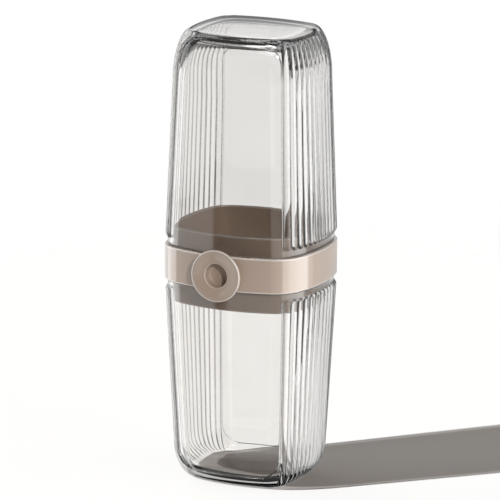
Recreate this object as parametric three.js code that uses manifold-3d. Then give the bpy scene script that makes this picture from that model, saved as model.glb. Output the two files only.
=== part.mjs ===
// A two-cup travel case for a toothbrush and a tube. A clear lid stands on a clear storage cup,
// and a ring with a press-button latch joins them. Both cups have ribbed sides and smooth
// recessed windows at the front and the back.
// Millimetres, +Z up, the button faces -Y, and the origin is the middle of the standing face.

import * as THREE from 'three';
import { mergeVertices } from 'three/addons/utils/BufferGeometryUtils.js';
import Module from 'manifold-3d';

const wasm = await Module();
wasm.setup();

// Heights of the three main pieces, from the standing face up
const cupHeight = 94.5;
const bandHeight = 16.2;
const lidHeight = 98.7;
const seamGap = 0.3;

// Plan of the band: four bowed sides and four round corners
const halfWidth = 36.5;
const halfDepth = 34.2;
const bowRadius = 74;
const cornerRadius = 15.8;

// Walls of both cups, measured from the rib crests inwards
const ribHeight = 1.2;
const cupWall = 2.2;

// Lid: its straight draft, its round shoulder and the hollow's round ceiling
const lidWidthDraft = 2.9;
const lidDepthDraft = 3.1;
const lidShoulderRise = 23.5;
const lidShoulderReach = 8.5;
const lidTopThickness = 4;
const lidCeilingRise = 22;
const lidCeilingReach = 10.5;
const lidRibEndGap = 1.8;
const lidWindowEndGap = 1.8;
const lidWindowCornerRise = 12;
const lidWindowCornerReach = 10.5;

// Storage cup: the same sizes, from its rim down
const cupWidthDraft = 3.8;
const cupDepthDraft = 4.9;
const cupFootRise = 17;
const cupFootReach = 12.1;
const cupFloorThickness = 4;
const cupHollowRise = 15;
const cupHollowReach = 10.5;
const cupRibEndGap = 1.6;
const cupWindowEndGap = 6.9;
const cupWindowCornerRise = 9;
const cupWindowCornerReach = 9;

// Ribs and windows
const ribsPerSide = 14;
const plainRimHeight = 3;
const ribStep = 0.35;
const windowAngle = THREE.MathUtils.degToRad(43);
const frameWidth = 0.8;
const frameSlope = 0.3;
const hollowCornerShare = 0.5;

// Band and collar
const bandSkin = 1.1;
const bandLip = 1.2;
const bandEdgeRound = 0.6;
const collarWall = 1.8;
const collarAbove = 8.7;
const collarBelow = 9.9;
const collarEdgeRound = 0.5;

// Clearances: between pieces that touch, and round pieces that slide
const touchGap = 0.3;
const slideGap = 0.4;

// Rim tongues, their catches and the latch noses
const tongueWidth = 5;
const tongueDrop = 6.5;
const tongueThinning = 0.2;
const tongueRoot = 1;
const catchOffset = 11;
const catchDepth = 3.5;
const catchWidth = 3;
const catchHeight = 1.6;
const cupCatchReach = 1.2;

// Button cap
const buttonRadius = 12;
const buttonDrop = 0.7;
const buttonTravel = 1.6;
const pressedGap = 0.5;
const capRimThickness = 1.4;
const capRimRound = 0.5;
const capFaceDish = 0.8;
const recessRadius = 5.5;
const recessDepth = 5;
const recessLipRound = 0.45;
const recessFloor = 1.2;
const capBossRadius = 6.7;
const capStemRadius = 3.5;
const pilotDepth = 2.6;

// Latch slider behind the collar
const sliderThickness = 1.6;
const sliderHubRadius = 5.5;
const sliderBarHeight = 3.2;
const sliderBarEnd = 1.8;

// Housing, cover, spring and screws
const housingHalfWidth = 14.2;
const housingHalfHeight = 7.4;
const housingWall = 1.2;
const coverThickness = 1.5;
const coverCorner = 2;
const springMeanRadius = 3.25;
const springWire = 0.7;
const springTurns = 3;
const springReserve = 0.2;
const spigotHeight = 0.8;
const earOffset = 17.6;
const earRadius = 3;
const earBossRadius = 2.5;
const screwShankRadius = 1.1;
const screwHeadRadius = 2.4;
const screwHeadHeight = 1.4;
const screwHeadRound = 0.5;
const coverScrewLength = 6.2;

// Facets and the overrun of cutting solids
const ribFacets = 4;
const shoulderFacets = 5;
const bowFacets = 3;
const cornerFacets = 5;
const roundFacets = 36;
const screwFacets = 16;
const archFacets = 6;
const springSteps = 12;
const springSides = 6;
const overrun = 2;

// Heights and depths that follow from the sizes above
const cupRimZ = cupHeight;
const bandBottomZ = cupRimZ + seamGap;
const bandTopZ = bandBottomZ + bandHeight;
const lidRimZ = bandTopZ + seamGap;
const bandMidZ = (bandBottomZ + bandTopZ) / 2;
const buttonZ = bandMidZ - buttonDrop;
const wallInset = ribHeight + cupWall;
const collarInset = wallInset + touchGap;
const collarInnerInset = collarInset + collarWall;
const springPressedLength = (springTurns + 1) * springWire + springReserve;
const springLength = springPressedLength + buttonTravel;

const lidShape = {
  rimZ: lidRimZ,
  direction: 1,
  height: lidHeight,
  widthDraft: lidWidthDraft,
  depthDraft: lidDepthDraft,
  curveRise: lidShoulderRise,
  curveReach: lidShoulderReach,
  endThickness: lidTopThickness,
  hollowRise: lidCeilingRise,
  hollowReach: lidCeilingReach,
  ribEndGap: lidRibEndGap,
  windowEndGap: lidWindowEndGap,
  windowCornerRise: lidWindowCornerRise,
  windowCornerReach: lidWindowCornerReach,
};

const cupShape = {
  rimZ: cupRimZ,
  direction: -1,
  height: cupHeight,
  widthDraft: cupWidthDraft,
  depthDraft: cupDepthDraft,
  curveRise: cupFootRise,
  curveReach: cupFootReach,
  endThickness: cupFloorThickness,
  hollowRise: cupHollowRise,
  hollowReach: cupHollowReach,
  ribEndGap: cupRibEndGap,
  windowEndGap: cupWindowEndGap,
  windowCornerRise: cupWindowCornerRise,
  windowCornerReach: cupWindowCornerReach,
};

// Materials

const clearPlastic = new THREE.MeshStandardMaterial({
  color: '#e6e2de',
  roughness: 0.06,
  metalness: 0,
  transparent: true,
  opacity: 0.35,
});
const beigePlastic = new THREE.MeshStandardMaterial({ color: '#c6b4a7', roughness: 0.22, metalness: 0 });
const whitePlastic = new THREE.MeshStandardMaterial({ color: '#d9d5cf', roughness: 0.5, metalness: 0 });
const steel = new THREE.MeshStandardMaterial({ color: '#a8a9ab', roughness: 0.3, metalness: 1 });

// Solids from three.js geometry, and back

function toSolid(geometry) {
  const plain = geometry.clone();
  plain.deleteAttribute('normal');
  plain.deleteAttribute('uv');
  const merged = mergeVertices(plain);
  const index = merged.index.array;
  const kept = [];
  for (let i = 0; i < index.length; i += 3) {
    const [a, b, c] = [index[i], index[i + 1], index[i + 2]];
    if (a !== b && b !== c && c !== a) kept.push(a, b, c);
  }
  return new wasm.Manifold(new wasm.Mesh({
    numProp: 3,
    vertProperties: new Float32Array(merged.attributes.position.array),
    triVerts: new Uint32Array(kept),
  }));
}

function toGeometry(solid) {
  const mesh = solid.getMesh();
  const geometry = new THREE.BufferGeometry();
  geometry.setAttribute('position', new THREE.BufferAttribute(new Float32Array(mesh.vertProperties), 3));
  geometry.setIndex(new THREE.BufferAttribute(new Uint32Array(mesh.triVerts), 1));
  geometry.computeVertexNormals();
  return geometry;
}

function box(x0, x1, y0, y1, z0, z1) {
  const geometry = new THREE.BoxGeometry(x1 - x0, y1 - y0, z1 - z0);
  geometry.translate((x0 + x1) / 2, (y0 + y1) / 2, (z0 + z1) / 2);
  return toSolid(geometry);
}

// A cylinder along Y from y0 to y1.
function rod(radius, x, z, y0, y1, facets) {
  const geometry = new THREE.CylinderGeometry(radius, radius, y1 - y0, facets);
  geometry.translate(x, (y0 + y1) / 2, z);
  return toSolid(geometry);
}

// A profile of [radius, y] points turned about a line along Y.
function turned(profile, x, z, facets) {
  const geometry = new THREE.LatheGeometry(profile.map(([r, y]) => new THREE.Vector2(r, y)), facets);
  geometry.translate(x, 0, z);
  return toSolid(geometry);
}

// A flat outline in X and Z, thickened along Y from y0 to y1.
function plateAlongY(shape, y0, y1, curveSegments) {
  const geometry = new THREE.ExtrudeGeometry(shape, { depth: y1 - y0, bevelEnabled: false, curveSegments });
  geometry.rotateX(Math.PI / 2);
  geometry.translate(0, y1, 0);
  return toSolid(geometry);
}

// The plan outline. A point is named by the direction of its outward normal, as an angle
// from -Y towards +X, so each level of a loft has the same points.

function planArcs(plan) {
  const front = { x: 0, y: bowRadius - plan.halfDepth, radius: bowRadius };
  const side = { x: plan.halfWidth - bowRadius, y: 0, radius: bowRadius };
  const middleX = (front.x + side.x) / 2;
  const middleY = (front.y + side.y) / 2;
  const halfSpan = Math.hypot(side.x - front.x, side.y - front.y) / 2;
  const reach = Math.sqrt((bowRadius - plan.corner) ** 2 - halfSpan ** 2);
  const alongX = (front.y - side.y) / (2 * halfSpan);
  const alongY = (side.x - front.x) / (2 * halfSpan);
  const corner = { x: middleX + reach * alongX, y: middleY + reach * alongY, radius: plan.corner };
  const frontEnd = Math.atan2(corner.x - front.x, front.y - corner.y);
  const sideStart = Math.atan2(corner.x - side.x, side.y - corner.y);
  return { front, side, corner, frontEnd, sideStart };
}

function planPoint(arcs, angle, inset) {
  const across = Math.sin(angle);
  const along = -Math.cos(angle);
  const folded = Math.atan2(Math.abs(across), Math.abs(along));
  let arc = arcs.corner;
  if (folded < arcs.frontEnd) arc = arcs.front;
  if (folded > arcs.sideStart) arc = arcs.side;
  const x = arc.x + (arc.radius - inset) * Math.abs(across);
  const y = arc.y - (arc.radius - inset) * Math.abs(along);
  return [across < 0 ? -x : x, along < 0 ? y : -y];
}

const bandPlan = { halfWidth, halfDepth, corner: cornerRadius };

// The y of the front face at an inset from the band's outline, at a distance x from the middle.
function frontFaceY(inset, x) {
  const radius = bowRadius - inset;
  return bowRadius - halfDepth - Math.sqrt(radius ** 2 - x ** 2);
}

// Angles of a smooth outline, all the way round.
function smoothAngles(arcs) {
  const quarter = [];
  for (let i = 0; i < bowFacets; i++) quarter.push(arcs.frontEnd * i / bowFacets);
  const cornerTurn = arcs.sideStart - arcs.frontEnd;
  for (let i = 0; i < cornerFacets; i++) quarter.push(arcs.frontEnd + cornerTurn * i / cornerFacets);
  const sideTurn = Math.PI / 2 - arcs.sideStart;
  for (let i = 0; i < bowFacets; i++) quarter.push(arcs.sideStart + sideTurn * i / bowFacets);
  const half = [...quarter, Math.PI / 2, ...quarter.slice(1).reverse().map((a) => Math.PI - a)];
  return [...half, ...half.map((a) => a + Math.PI)];
}

function smoothRow({ plan, inset, z }) {
  const arcs = planArcs(plan);
  return smoothAngles(arcs).map((angle) => [...planPoint(arcs, angle, inset), z]);
}

// Lofts: a stack of rows with flat ends, or a ring whose last row meets its first.

function loft(rows, closedRing) {
  const count = rows[0].length;
  const positions = rows.flat(2);
  const index = [];
  const bands = closedRing ? rows.length : rows.length - 1;
  for (let i = 0; i < bands; i++) {
    const next = (i + 1) % rows.length;
    for (let j = 0; j < count; j++) {
      const k = (j + 1) % count;
      index.push(i * count + j, i * count + k, next * count + k);
      index.push(i * count + j, next * count + k, next * count + j);
    }
  }
  if (!closedRing) {
    const bottomMiddle = positions.length / 3;
    positions.push(0, 0, rows[0][0][2]);
    positions.push(0, 0, rows[rows.length - 1][0][2]);
    const last = (rows.length - 1) * count;
    for (let j = 0; j < count; j++) {
      const k = (j + 1) % count;
      index.push(bottomMiddle, k, j);
      index.push(bottomMiddle + 1, last + j, last + k);
    }
  }
  const geometry = new THREE.BufferGeometry();
  geometry.setAttribute('position', new THREE.Float32BufferAttribute(positions, 3));
  geometry.setIndex(index);
  return toSolid(geometry);
}

// A ring whose section points run up the outside and down the inside.
const ringFrom = (section) => loft(section.map(smoothRow), true);

// A solid column that fills the band's outline from an inset inwards.
function columnInside(inset, z0, z1) {
  return loft([z0, z1].map((z) => smoothRow({ plan: bandPlan, inset, z })), false);
}

// Cup and lid shells. Heights h run from the rim to the closed end.

const wallRise = (shape) => shape.height - shape.curveRise;

function quarterReach(rise, reach, h) {
  const turn = Math.asin(Math.min(Math.max(h / rise, 0), 1));
  return reach * (1 - Math.cos(turn));
}

function draftedPlan(shape, h, reach, cornerReach) {
  const share = Math.min(h / wallRise(shape), 1);
  return {
    halfWidth: halfWidth - shape.widthDraft * share - reach,
    halfDepth: halfDepth - shape.depthDraft * share - reach,
    corner: cornerRadius - cornerReach,
  };
}

function crestPlan(shape, h) {
  const reach = quarterReach(shape.curveRise, shape.curveReach, h - wallRise(shape));
  return draftedPlan(shape, h, reach, reach);
}

function hollowPlan(shape, h) {
  const start = shape.height - shape.endThickness - shape.hollowRise;
  const reach = quarterReach(shape.hollowRise, shape.hollowReach, h - start);
  return draftedPlan(shape, h, reach, reach * hollowCornerShare);
}

// Angle of a point on the ribbed side, by its share of the way from window to window.
function sideAngle(arcs, share) {
  const cornerLength = arcs.corner.radius * (arcs.sideStart - windowAngle);
  const sideLength = arcs.side.radius * (Math.PI - 2 * arcs.sideStart);
  const along = share * (2 * cornerLength + sideLength);
  if (along < cornerLength) return windowAngle + along / arcs.corner.radius;
  const pastCorner = along - cornerLength;
  if (pastCorner < sideLength) return arcs.sideStart + pastCorner / arcs.side.radius;
  return Math.PI - arcs.sideStart + (pastCorner - sideLength) / arcs.corner.radius;
}

function ribPitch(arcs) {
  const cornerLength = arcs.corner.radius * (arcs.sideStart - windowAngle);
  const sideLength = arcs.side.radius * (Math.PI - 2 * arcs.sideStart);
  return (2 * cornerLength + sideLength) / ribsPerSide;
}

// Height of a rib above the wall, across the rib from -1 to 1, and at a distance from its round end.
function ribProfile(pitch, across, fromEnd) {
  const half = pitch / 2;
  const radius = (half ** 2 + ribHeight ** 2) / (2 * ribHeight);
  const endward = Math.max(half - fromEnd, 0);
  const square = radius ** 2 - (across * half) ** 2 - endward ** 2;
  return Math.max(Math.sqrt(Math.max(square, 0)) - (radius - ribHeight), 0);
}

// Angles across the field between the ribbed sides, where the window is cut.
function fieldAngles(arcs) {
  const edge = windowAngle - frameSlope / arcs.corner.radius;
  const field = [edge, (edge + arcs.frontEnd) / 2, arcs.frontEnd];
  for (let i = 1; i < bowFacets; i++) field.push(arcs.frontEnd * (1 - i / bowFacets));
  return [...field.map((a) => -a), 0, ...field.reverse()];
}

// One row of the outside: the front window's raised field, ribs, the back field, ribs.
function outsideRow(shape, h, kind) {
  const arcs = planArcs(crestPlan(shape, h));
  const pitch = ribPitch(arcs);
  const fromEnd = h - plainRimHeight;
  const fieldInset = kind === 'rim' ? ribHeight : 0;
  const valleyInset = kind === 'border' ? 0 : ribHeight;
  const points = [];
  for (const turn of [0, Math.PI]) {
    for (const angle of fieldAngles(arcs)) points.push(planPoint(arcs, angle + turn, fieldInset));
    const steps = ribsPerSide * ribFacets;
    for (let i = 0; i <= steps; i++) {
      const across = 2 * (i % ribFacets) / ribFacets - 1;
      const rise = kind === 'border' ? 0 : ribProfile(pitch, across, fromEnd);
      const inset = valleyInset - rise;
      points.push(planPoint(arcs, sideAngle(arcs, i / steps) + turn, inset));
    }
  }
  return points.map(([x, y]) => [x, y, shape.rimZ + shape.direction * h]);
}

function stacked(shape, rows) {
  return loft(shape.direction > 0 ? rows : rows.reverse(), false);
}

function outside(shape) {
  const dome = ribPitch(planArcs(crestPlan(shape, 0))) / 2;
  const rows = [
    outsideRow(shape, 0, 'rim'),
    outsideRow(shape, plainRimHeight, 'rim'),
    outsideRow(shape, plainRimHeight + dome * ribStep, 'ribs'),
    outsideRow(shape, plainRimHeight + dome, 'ribs'),
  ];
  const start = wallRise(shape);
  const ribEnd = shape.height - shape.ribEndGap;
  const endTurn = Math.asin((ribEnd - start) / shape.curveRise);
  for (let i = 0; i <= shoulderFacets; i++) {
    const h = start + shape.curveRise * Math.sin(endTurn * i / shoulderFacets);
    rows.push(outsideRow(shape, h, 'ribs'));
  }
  rows.push(outsideRow(shape, ribEnd + shape.ribEndGap * ribStep, 'border'));
  rows.push(outsideRow(shape, shape.height, 'border'));
  return stacked(shape, rows);
}

// The smooth wall surface under the ribs and inside the windows.
function smoothWall(shape) {
  const levels = [-overrun, plainRimHeight];
  for (let i = 0; i <= shoulderFacets; i++) {
    levels.push(wallRise(shape) + shape.curveRise * Math.sin(Math.PI / 2 * i / shoulderFacets));
  }
  const rows = levels.map((h) => {
    const arcs = planArcs(crestPlan(shape, h));
    const sides = Array.from({ length: ribsPerSide + 1 }, (_, i) => sideAngle(arcs, i / ribsPerSide));
    const half = [...fieldAngles(arcs), ...sides];
    const angles = [...half, ...half.map((a) => a + Math.PI)];
    return angles.map((a) => [...planPoint(arcs, a, ribHeight), shape.rimZ + shape.direction * h]);
  });
  return stacked(shape, rows);
}

// The arched outline of the windows, as seen from the front.
function windowCutter(shape) {
  const side = (h) => {
    const arcs = planArcs(crestPlan(shape, h));
    return planPoint(arcs, windowAngle - frameWidth / arcs.corner.radius, ribHeight)[0];
  };
  const top = shape.height - shape.windowEndGap;
  const cornerStart = top - shape.windowCornerRise;
  const right = [];
  for (const h of [plainRimHeight, wallRise(shape), (wallRise(shape) + cornerStart) / 2, cornerStart]) {
    right.push([side(h), h]);
  }
  const middle = side(cornerStart) - shape.windowCornerReach;
  for (let i = 1; i <= archFacets; i++) {
    const turn = Math.PI / 2 * i / archFacets;
    const x = middle + shape.windowCornerReach * Math.cos(turn);
    right.push([x, cornerStart + shape.windowCornerRise * Math.sin(turn)]);
  }
  const left = right.map(([x, h]) => [-x, h]).reverse();
  const outline = [...right, ...left].map(([x, h]) => new THREE.Vector2(x, shape.rimZ + shape.direction * h));
  const reach = halfDepth + overrun;
  return plateAlongY(new THREE.Shape(outline), -reach, reach, archFacets).subtract(smoothWall(shape));
}

function hollow(shape) {
  const start = shape.height - shape.endThickness - shape.hollowRise;
  const levels = [-overrun];
  for (let i = 0; i <= shoulderFacets; i++) {
    levels.push(start + shape.hollowRise * Math.sin(Math.PI / 2 * i / shoulderFacets));
  }
  const rows = levels.map((h) => smoothRow({
    plan: hollowPlan(shape, h),
    inset: wallInset,
    z: shape.rimZ + shape.direction * h,
  }));
  return stacked(shape, rows);
}

// Tongues carry on the rim's wall past the rim, and each has a hole for its catch.
function rimTongues(shape, ySides) {
  const rootZ = shape.rimZ + shape.direction * tongueRoot;
  const tipZ = shape.rimZ - shape.direction * tongueDrop;
  const catchZ = shape.rimZ - shape.direction * catchDepth;
  const [z0, z1] = [Math.min(rootZ, tipZ), Math.max(rootZ, tipZ)];
  const outer = ribHeight + tongueThinning;
  const inner = wallInset - tongueThinning;
  const wall = columnInside(outer, z0, z1).subtract(columnInside(inner, z0 - overrun, z1 + overrun));
  const reach = halfDepth + overrun;
  let tongues = null;
  for (const ySide of ySides) {
    for (const xSide of [-1, 1]) {
      const x = xSide * catchOffset;
      const [y0, y1] = ySide < 0 ? [-reach, 0] : [0, reach];
      const blank = box(x - tongueWidth / 2, x + tongueWidth / 2, y0, y1, z0, z1);
      const holeHalf = catchWidth / 2 + touchGap;
      const holeRise = catchHeight / 2 + touchGap;
      const hole = box(x - holeHalf, x + holeHalf, y0, y1, catchZ - holeRise, catchZ + holeRise);
      const tongue = wall.intersect(blank).subtract(hole);
      tongues = tongues ? tongues.add(tongue) : tongue;
    }
  }
  return tongues;
}

function cupShell(shape, ySides) {
  const shell = outside(shape).subtract(windowCutter(shape)).subtract(hollow(shape));
  return shell.add(rimTongues(shape, ySides));
}

// Band: a skin with a lip at each edge, open towards the collar

function outerBand() {
  const lipInset = wallInset;
  const round = bandEdgeRound;
  const soft = round * (1 - Math.SQRT1_2);
  const section = [
    [0, bandBottomZ + round],
    [0, bandTopZ - round],
    [soft, bandTopZ - soft],
    [round, bandTopZ],
    [lipInset, bandTopZ],
    [lipInset, bandTopZ - bandLip],
    [bandSkin, bandTopZ - bandLip],
    [bandSkin, bandBottomZ + bandLip],
    [lipInset, bandBottomZ + bandLip],
    [lipInset, bandBottomZ],
    [round, bandBottomZ],
    [soft, bandBottomZ + soft],
  ];
  let band = ringFrom(section.map(([inset, z]) => ({ plan: bandPlan, inset, z })));
  const behindSkin = columnInside(bandSkin, bandBottomZ - overrun, bandTopZ + overrun);
  const reach = halfDepth + overrun;
  const half = tongueWidth / 2 + slideGap;
  const slots = [
    { ySide: -1, z0: bandTopZ - bandLip - slideGap, z1: bandTopZ + overrun },
    { ySide: -1, z0: bandBottomZ - overrun, z1: bandBottomZ + bandLip + slideGap },
    { ySide: 1, z0: bandBottomZ - overrun, z1: bandBottomZ + bandLip + slideGap },
  ];
  for (const { ySide, z0, z1 } of slots) {
    for (const x of [-catchOffset, catchOffset]) {
      const [y0, y1] = ySide < 0 ? [-reach, 0] : [0, reach];
      band = band.subtract(box(x - half, x + half, y0, y1, z0, z1).intersect(behindSkin));
    }
  }
  return band.subtract(rod(capBossRadius + slideGap, 0, buttonZ, -reach, 0, roundFacets));
}

// Collar: the inner ring that plugs into both cups, with the latch housing on its front wall

function collarRow(z, extraInset) {
  const inset = collarInset + extraInset;
  if (z > lidRimZ) return { plan: hollowPlan(lidShape, z - lidRimZ), inset, z };
  if (z < cupRimZ) return { plan: hollowPlan(cupShape, cupRimZ - z), inset, z };
  return { plan: bandPlan, inset, z };
}

const sliderFrontY = frontFaceY(collarInnerInset, catchOffset + catchWidth / 2 + sliderBarEnd / 2) + touchGap;
const sliderBackY = sliderFrontY + sliderThickness;
const springFrontY = sliderBackY + touchGap;
const springBackY = springFrontY + springLength;
const coverFrontY = springBackY + touchGap;
const coverBackY = coverFrontY + coverThickness;
const housingBackY = coverFrontY - touchGap;
const pilotRadius = screwShankRadius + touchGap;
const coverScrewTipY = coverBackY + touchGap - coverScrewLength;

function collarWallRing() {
  const topZ = bandTopZ + collarAbove;
  const bottomZ = bandBottomZ - collarBelow;
  const round = collarEdgeRound;
  return ringFrom([
    collarRow(bottomZ, round),
    collarRow(bottomZ + round, 0),
    collarRow(cupRimZ, 0),
    collarRow(lidRimZ, 0),
    collarRow(topZ - round, 0),
    collarRow(topZ, round),
    collarRow(topZ, collarWall - round),
    collarRow(topZ - round, collarWall),
    collarRow(lidRimZ, collarWall),
    collarRow(cupRimZ, collarWall),
    collarRow(bottomZ + round, collarWall),
    collarRow(bottomZ, collarWall - round),
  ]);
}

// Walls round the slider, from the collar to the cover, and a boss at each side for a screw.
function latchHousing() {
  const outerX = housingHalfWidth + housingWall;
  const outerZ = housingHalfHeight + housingWall;
  const z0 = bandMidZ - outerZ;
  const z1 = bandMidZ + outerZ;
  const midWall = columnInside(collarInset + collarWall / 2, z0 - overrun, z1 + overrun);
  const innerFace = columnInside(collarInnerInset, z0 - overrun, z1 + overrun);
  let walls = box(-outerX, outerX, -halfDepth, housingBackY, z0, z1);
  for (const x of [-earOffset, earOffset]) {
    walls = walls.add(rod(earBossRadius, x, bandMidZ, -halfDepth, housingBackY, screwFacets));
  }
  const room = box(
    -housingHalfWidth,
    housingHalfWidth,
    -halfDepth,
    housingBackY + overrun,
    bandMidZ - housingHalfHeight,
    bandMidZ + housingHalfHeight,
  );
  walls = walls.intersect(midWall).subtract(room.intersect(innerFace));
  const pilotEndY = coverScrewTipY - touchGap;
  for (const x of [-earOffset, earOffset]) {
    walls = walls.subtract(rod(pilotRadius, x, bandMidZ, pilotEndY, housingBackY + overrun, screwFacets));
  }
  return walls;
}

function collarRing() {
  let collar = collarWallRing().add(latchHousing());
  const slotHalf = catchWidth / 2 + slideGap;
  const slotRise = catchHeight / 2 + slideGap;
  const catchZ = lidRimZ - catchDepth;
  for (const x of [-catchOffset, catchOffset]) {
    const slot = box(x - slotHalf, x + slotHalf, -halfDepth, sliderFrontY, catchZ - slotRise, catchZ + slotRise);
    collar = collar.subtract(slot);
  }
  collar = collar.subtract(rod(capBossRadius + slideGap, 0, buttonZ, -halfDepth, sliderFrontY, roundFacets));
  return collar.add(cupCatches());
}

// Fixed catches that hold the ring in the holes of the storage cup's tongues.
function cupCatches() {
  const z = cupRimZ + catchDepth;
  const z0 = z - catchHeight / 2;
  const z1 = z + catchHeight / 2;
  const outer = columnInside(collarInset - cupCatchReach, z0, z1);
  const inner = columnInside(collarInset + collarWall / 2, z0 - overrun, z1 + overrun);
  const shell = outer.subtract(inner);
  const reach = halfDepth + overrun;
  let catches = null;
  for (const [y0, y1] of [[-reach, 0], [0, reach]]) {
    for (const x of [-catchOffset, catchOffset]) {
      const piece = shell.intersect(box(x - catchWidth / 2, x + catchWidth / 2, y0, y1, z0, z1));
      catches = catches ? catches.add(piece) : piece;
    }
  }
  return catches;
}

// Button cap: a dished disc with a deep round recess, a boss behind it and a stem

const capFrontY = -halfDepth - pressedGap - buttonTravel - capRimThickness;
const recessFloorY = capFrontY + capFaceDish + recessDepth;
const bossBackY = recessFloorY + recessFloor;
const stemEndY = sliderFrontY - touchGap;

function buttonCap() {
  const lip = recessLipRound;
  const rim = capRimRound;
  const soft = 1 - Math.SQRT1_2;
  const faceY = capFrontY + capFaceDish;
  const profile = [
    [0, recessFloorY],
    [recessRadius - lip / 2, recessFloorY],
    [recessRadius, recessFloorY - lip / 2],
    [recessRadius, faceY + lip],
    [recessRadius + lip * soft, faceY + lip * soft],
    [recessRadius + lip, faceY],
    [(recessRadius + buttonRadius) / 2, capFrontY + capFaceDish / 2],
    [buttonRadius - 2 * rim, capFrontY],
    [buttonRadius - rim * soft, capFrontY + rim * soft],
    [buttonRadius, capFrontY + rim],
    [buttonRadius, capFrontY + capRimThickness - rim / 2],
    [buttonRadius - rim / 2, capFrontY + capRimThickness],
    [capBossRadius, capFrontY + capRimThickness],
    [capBossRadius, bossBackY],
    [capStemRadius, bossBackY],
    [capStemRadius, stemEndY],
    [pilotRadius, stemEndY],
    [pilotRadius, stemEndY - pilotDepth],
    [0, stemEndY - pilotDepth],
  ];
  return turned(profile, 0, buttonZ, roundFacets);
}

// Latch slider: a hub on the stem, a bar above it and a nose at each end of the bar

function latchSlider() {
  const catchZ = lidRimZ - catchDepth;
  const barHalf = catchOffset + catchWidth / 2 + sliderBarEnd / 2;
  const barTop = catchZ + sliderBarHeight / 2;
  const barBottom = catchZ - sliderBarHeight / 2;
  const outline = new THREE.Shape();
  outline.moveTo(barHalf, barBottom);
  outline.lineTo(barHalf, barTop);
  outline.lineTo(-barHalf, barTop);
  outline.lineTo(-barHalf, barBottom);
  outline.lineTo(-sliderHubRadius, barBottom);
  outline.lineTo(-sliderHubRadius, buttonZ);
  outline.absarc(0, buttonZ, sliderHubRadius, Math.PI, 2 * Math.PI, false);
  outline.lineTo(sliderHubRadius, barBottom);
  let slider = plateAlongY(outline, sliderFrontY, sliderBackY, screwFacets);
  const noseTipY = frontFaceY(wallInset - tongueThinning, catchOffset + catchWidth / 2) + touchGap;
  const rootY = (sliderFrontY + sliderBackY) / 2;
  for (const x of [-catchOffset, catchOffset]) {
    const nose = box(
      x - catchWidth / 2,
      x + catchWidth / 2,
      noseTipY,
      rootY,
      catchZ - catchHeight / 2,
      catchZ + catchHeight / 2,
    );
    slider = slider.add(nose);
  }
  return slider.subtract(rod(pilotRadius, 0, buttonZ, sliderFrontY - overrun, sliderBackY + overrun, screwFacets));
}

// Screws: a rounded head whose back is away from the button, and a plain shank

function screw(x, z, seatY, tipY) {
  const headY = seatY + touchGap;
  const backY = headY + screwHeadHeight;
  const profile = [
    [0, tipY],
    [screwShankRadius, tipY],
    [screwShankRadius, headY],
    [screwHeadRadius, headY],
    [screwHeadRadius, backY - screwHeadRound],
    [screwHeadRadius - screwHeadRound, backY],
    [0, backY],
  ];
  return turned(profile, x, z, screwFacets);
}

// Cover: a plate with a screw ear at each side and a spigot that centres the spring

function housingCover() {
  const outerX = housingHalfWidth + housingWall;
  const outerZ = housingHalfHeight + housingWall;
  const corner = coverCorner;
  const plate = new THREE.Shape();
  plate.moveTo(outerX, bandMidZ - outerZ + corner);
  plate.lineTo(outerX, bandMidZ + outerZ - corner);
  plate.absarc(outerX - corner, bandMidZ + outerZ - corner, corner, 0, Math.PI / 2, false);
  plate.absarc(-outerX + corner, bandMidZ + outerZ - corner, corner, Math.PI / 2, Math.PI, false);
  plate.absarc(-outerX + corner, bandMidZ - outerZ + corner, corner, Math.PI, 1.5 * Math.PI, false);
  plate.absarc(outerX - corner, bandMidZ - outerZ + corner, corner, 1.5 * Math.PI, 2 * Math.PI, false);
  let cover = plateAlongY(plate, coverFrontY, coverBackY, archFacets);
  for (const x of [-earOffset, earOffset]) {
    const ear = rod(earRadius, x, bandMidZ, coverFrontY, coverBackY, screwFacets);
    const neck = box(
      Math.min(x, 0),
      Math.max(x, 0),
      coverFrontY,
      coverBackY,
      bandMidZ - earRadius,
      bandMidZ + earRadius,
    );
    cover = cover.add(ear).add(neck);
  }
  const spigotRadius = springMeanRadius - springWire / 2 - slideGap;
  cover = cover.add(rod(spigotRadius, 0, buttonZ, coverFrontY - spigotHeight, coverBackY, screwFacets));
  for (const x of [-earOffset, earOffset]) {
    const hole = rod(pilotRadius, x, bandMidZ, coverFrontY - overrun, coverBackY + overrun, screwFacets);
    cover = cover.subtract(hole);
  }
  return cover;
}

// Return spring: one unbroken round wire, wound about the button's axis

function springCentre(turn) {
  const share = turn / springTurns;
  const angle = 2 * Math.PI * turn;
  const y = springFrontY + springWire / 2 + share * (springLength - springWire);
  return new THREE.Vector3(springMeanRadius * Math.cos(angle), y, buttonZ + springMeanRadius * Math.sin(angle));
}

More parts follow.
